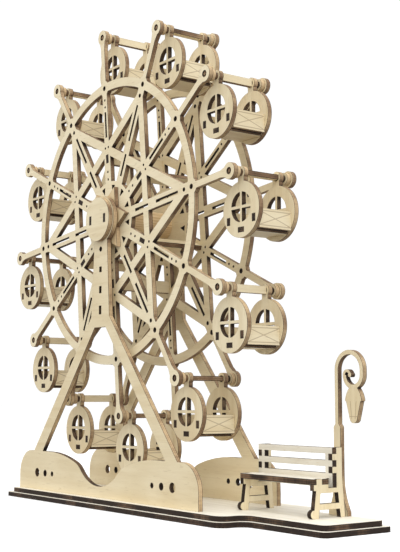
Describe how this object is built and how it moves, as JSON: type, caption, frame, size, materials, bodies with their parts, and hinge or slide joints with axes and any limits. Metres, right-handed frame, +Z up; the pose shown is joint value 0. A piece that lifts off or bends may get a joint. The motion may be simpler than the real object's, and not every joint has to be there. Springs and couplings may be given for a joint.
{
  "type": "crank ferris wheel toy",
  "caption": "Wooden tabletop ferris wheel toy: star-spoked wheel between A-frames, hanging cabins, rear crank, and a bench and street lamp on the base.",
  "frame": {"origin": "underside of the base, straight below the axle, half way between the wheel plates", "axes": "+X along the wheel's plane towards the bench and lamp, +Y along the axle towards the crank (front is -Y), +Z up"},
  "size_m": [0.351, 0.0948, 0.3224],
  "materials": {
    "base_ply": "laser-cut birch ply, unfinished faces, burnt brown edges",
    "frame_ply": "laser-cut birch ply, unfinished faces, burnt brown edges",
    "wheel_ply": "laser-cut birch ply, unfinished faces, burnt brown edges",
    "cabin_ply": "laser-cut birch ply, unfinished faces, burnt brown edges",
    "bench_ply": "laser-cut birch ply, unfinished faces, burnt brown edges",
    "lamp_ply": "laser-cut birch ply, unfinished faces, burnt brown edges",
    "dowel_wood": "turned softwood dowel, unfinished"
  },
  "bodies": {
    "stand": {"base_lower_plate": "base_ply", "base_upper_plate": "base_ply", "support_front": "frame_ply", "support_rear": "frame_ply", "hub_cap_disc": "frame_ply", "hub_cap_keys": "frame_ply", "bench_side_left": "bench_ply", "bench_side_right": "bench_ply", "bench_seat": "bench_ply", "bench_back": "bench_ply", "lamp_post": "lamp_ply"},
    "wheel": {"wheel_front_plate": "wheel_ply", "wheel_rear_plate": "wheel_ply", "wheel_spacer_bars": "wheel_ply", "hub_star_front": "wheel_ply", "hub_star_rear": "wheel_ply", "hub_sleeve": "wheel_ply", "axle": "dowel_wood", "crank_arm": "wheel_ply", "crank_hub_disc": "wheel_ply", "crank_pin": "dowel_wood"},
    "cabin_01": {"cabin_01_ends": "cabin_ply", "cabin_01_panels": "cabin_ply", "cabin_01_bar": "cabin_ply"},
    "cabin_02": {"cabin_02_ends": "cabin_ply", "cabin_02_panels": "cabin_ply", "cabin_02_bar": "cabin_ply"},
    "cabin_03": {"cabin_03_ends": "cabin_ply", "cabin_03_panels": "cabin_ply", "cabin_03_bar": "cabin_ply"},
    "cabin_04": {"cabin_04_ends": "cabin_ply", "cabin_04_panels": "cabin_ply", "cabin_04_bar": "cabin_ply"},
    "cabin_05": {"cabin_05_ends": "cabin_ply", "cabin_05_panels": "cabin_ply", "cabin_05_bar": "cabin_ply"},
    "cabin_06": {"cabin_06_ends": "cabin_ply", "cabin_06_panels": "cabin_ply", "cabin_06_bar": "cabin_ply"},
    "cabin_07": {"cabin_07_ends": "cabin_ply", "cabin_07_panels": "cabin_ply", "cabin_07_bar": "cabin_ply"},
    "cabin_08": {"cabin_08_ends": "cabin_ply", "cabin_08_panels": "cabin_ply", "cabin_08_bar": "cabin_ply"},
    "cabin_09": {"cabin_09_ends": "cabin_ply", "cabin_09_panels": "cabin_ply", "cabin_09_bar": "cabin_ply"},
    "cabin_10": {"cabin_10_ends": "cabin_ply", "cabin_10_panels": "cabin_ply", "cabin_10_bar": "cabin_ply"},
    "cabin_11": {"cabin_11_ends": "cabin_ply", "cabin_11_panels": "cabin_ply", "cabin_11_bar": "cabin_ply"},
    "cabin_12": {"cabin_12_ends": "cabin_ply", "cabin_12_panels": "cabin_ply", "cabin_12_bar": "cabin_ply"},
    "crank_knob": {"crank_knob": "dowel_wood"}
  },
  "joints": [
    {"name": "wheel_spin", "type": "hinge", "parent": "stand", "child": "wheel", "pos_m": [0, 0, 0.188], "axis": [0, 1, 0], "continuous": true},
    {"name": "cabin_01_swing", "type": "hinge", "parent": "wheel", "child": "cabin_01", "pos_m": [-0.01246, 0, 0.3174], "axis": [0, 1, 0], "continuous": true},
    {"name": "cabin_02_swing", "type": "hinge", "parent": "wheel", "child": "cabin_02", "pos_m": [0.05391, 0, 0.30629], "axis": [0, 1, 0], "continuous": true},
    {"name": "cabin_03_swing", "type": "hinge", "parent": "wheel", "child": "cabin_03", "pos_m": [0.10583, 0, 0.26349], "axis": [0, 1, 0], "continuous": true},
    {"name": "cabin_04_swing", "type": "hinge", "parent": "wheel", "child": "cabin_04", "pos_m": [0.1294, 0, 0.20046], "axis": [0, 1, 0], "continuous": true},
    {"name": "cabin_05_swing", "type": "hinge", "parent": "wheel", "child": "cabin_05", "pos_m": [0.11829, 0, 0.13409], "axis": [0, 1, 0], "continuous": true},
    {"name": "cabin_06_swing", "type": "hinge", "parent": "wheel", "child": "cabin_06", "pos_m": [0.07549, 0, 0.08217], "axis": [0, 1, 0], "continuous": true},
    {"name": "cabin_07_swing", "type": "hinge", "parent": "wheel", "child": "cabin_07", "pos_m": [0.01246, 0, 0.0586], "axis": [0, 1, 0], "continuous": true},
    {"name": "cabin_08_swing", "type": "hinge", "parent": "wheel", "child": "cabin_08", "pos_m": [-0.05391, 0, 0.06971], "axis": [0, 1, 0], "continuous": true},
    {"name": "cabin_09_swing", "type": "hinge", "parent": "wheel", "child": "cabin_09", "pos_m": [-0.10583, 0, 0.11251], "axis": [0, 1, 0], "continuous": true},
    {"name": "cabin_10_swing", "type": "hinge", "parent": "wheel", "child": "cabin_10", "pos_m": [-0.1294, 0, 0.17554], "axis": [0, 1, 0], "continuous": true},
    {"name": "cabin_11_swing", "type": "hinge", "parent": "wheel", "child": "cabin_11", "pos_m": [-0.11829, 0, 0.24191], "axis": [0, 1, 0], "continuous": true},
    {"name": "cabin_12_swing", "type": "hinge", "parent": "wheel", "child": "cabin_12", "pos_m": [-0.07549, 0, 0.29384], "axis": [0, 1, 0], "continuous": true},
    {"name": "crank_knob_spin", "type": "hinge", "parent": "wheel", "child": "crank_knob", "pos_m": [0, 0.0437, 0.154], "axis": [0, 1, 0], "continuous": true}
  ],
  "couplings": [
    {"joint": "cabin_01_swing", "follows": "wheel_spin", "ratio": -1},
    {"joint": "cabin_02_swing", "follows": "wheel_spin", "ratio": -1},
    {"joint": "cabin_03_swing", "follows": "wheel_spin", "ratio": -1},
    {"joint": "cabin_04_swing", "follows": "wheel_spin", "ratio": -1},
    {"joint": "cabin_05_swing", "follows": "wheel_spin", "ratio": -1},
    {"joint": "cabin_06_swing", "follows": "wheel_spin", "ratio": -1},
    {"joint": "cabin_07_swing", "follows": "wheel_spin", "ratio": -1},
    {"joint": "cabin_08_swing", "follows": "wheel_spin", "ratio": -1},
    {"joint": "cabin_09_swing", "follows": "wheel_spin", "ratio": -1},
    {"joint": "cabin_10_swing", "follows": "wheel_spin", "ratio": -1},
    {"joint": "cabin_11_swing", "follows": "wheel_spin", "ratio": -1},
    {"joint": "cabin_12_swing", "follows": "wheel_spin", "ratio": -1}
  ]
}
